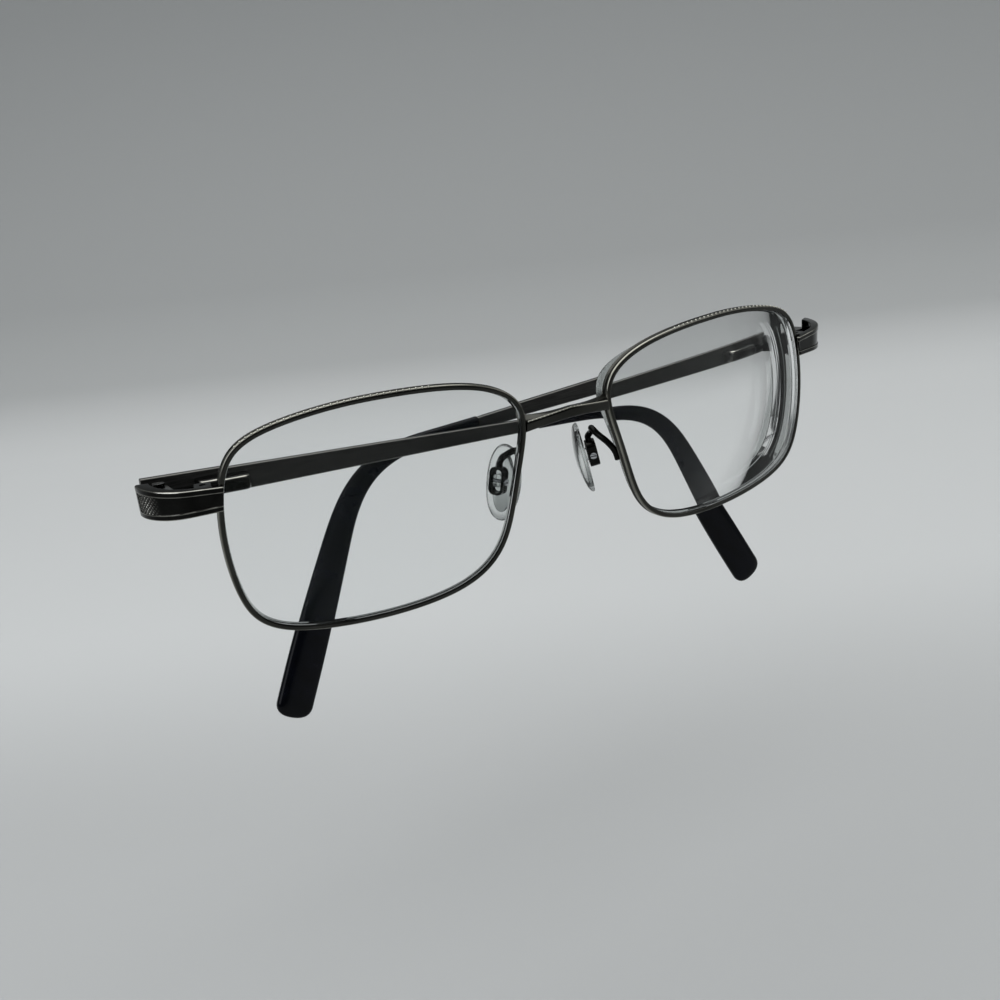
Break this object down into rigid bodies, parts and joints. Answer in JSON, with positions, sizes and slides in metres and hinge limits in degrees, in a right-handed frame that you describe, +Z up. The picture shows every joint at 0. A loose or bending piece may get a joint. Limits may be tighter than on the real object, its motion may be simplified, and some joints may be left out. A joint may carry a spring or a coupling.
{
  "type": "rectangular eyeglasses",
  "caption": "Rectangular full-rim metal eyeglasses with sprung temples folded behind the lenses, rocking nose pads and curved plastic temple tips.",
  "frame": {"origin": "halfway between the two lens centres, on the groove line of the rims' fronts", "axes": "+X to the wearer's left along the width, +Y back toward the face, +Z up"},
  "size_m": [0.144, 0.0251, 0.0636],
  "materials": {
    "gunmetal": "gunmetal-plated nickel silver, satin",
    "dark_metal": "dark plated nickel silver, semi-matte",
    "steel": "bare steel, satin",
    "lens": "clear coated resin, polished",
    "black_acetate": "black, polished",
    "clear_silicone": "clear, smooth"
  },
  "bodies": {
    "front": {"bridge": "gunmetal", "rim_right": "gunmetal", "rim_left": "gunmetal", "lens_right": "lens", "lens_left": "lens", "end_piece_right": "gunmetal", "end_piece_left": "gunmetal", "upper_block_right": "dark_metal", "upper_block_left": "dark_metal", "lower_block_right": "dark_metal", "lower_block_left": "dark_metal", "rim_screw_right": "steel", "rim_screw_left": "steel", "front_hinge_right": "dark_metal", "front_hinge_left": "dark_metal", "hinge_screw_right": "steel", "hinge_screw_left": "steel", "pad_arm_right": "dark_metal", "pad_arm_left": "dark_metal", "pad_box_right": "dark_metal", "pad_box_left": "dark_metal", "pad_screw_right": "steel", "pad_screw_left": "steel"},
    "slider_right": {"slider_right": "steel"},
    "temple_right": {"temple_arm_right": "dark_metal", "temple_tip_right": "black_acetate", "spring_box_right": "gunmetal", "stop_bush_right": "steel", "coil_spring_right": "steel"},
    "pad_right": {"nose_pad_right": "clear_silicone"},
    "slider_left": {"slider_left": "steel"},
    "temple_left": {"temple_arm_left": "dark_metal", "temple_tip_left": "black_acetate", "spring_box_left": "gunmetal", "stop_bush_left": "steel", "coil_spring_left": "steel"},
    "pad_left": {"nose_pad_left": "clear_silicone"}
  },
  "joints": [
    {"name": "hinge_right", "type": "hinge", "parent": "front", "child": "slider_right", "pos_m": [-0.06786, 0.0154, 0.00695], "axis": [0.0695, 0.0872, 0.9938], "range_deg": [0, 82.9]},
    {"name": "hinge_left", "type": "hinge", "parent": "front", "child": "slider_left", "pos_m": [0.06786, 0.0154, 0.00695], "axis": [0.0348, -0.0872, -0.9956], "range_deg": [0, 89.53]},
    {"name": "flex_right", "type": "slide", "parent": "slider_right", "child": "temple_right", "axis": [0.9976, -0.0052, -0.0693], "range_m": [0, 0.0012], "stiffness_N_per_m": 900, "springref_m": -0.0006, "deforming": ["coil_spring_right"]},
    {"name": "flex_left", "type": "slide", "parent": "slider_left", "child": "temple_left", "axis": [-0.999, 0.0261, -0.0372], "range_m": [0, 0.0012], "stiffness_N_per_m": 900, "springref_m": -0.0006, "deforming": ["coil_spring_left"]},
    {"name": "pad_rock_right", "type": "hinge", "parent": "front", "child": "pad_right", "pos_m": [-0.01047, 0.00666, -0.00321], "axis": [-0.4288, 0.8988, 0.0911], "range_deg": [-8, 8]},
    {"name": "pad_rock_left", "type": "hinge", "parent": "front", "child": "pad_left", "pos_m": [0.01047, 0.00666, -0.00321], "axis": [0.4288, 0.8988, 0.0911], "range_deg": [-8, 8]}
  ],
  "couplings": [
    {"joint": "hinge_left", "follows": "hinge_right", "ratio": 1.08}
  ]
}
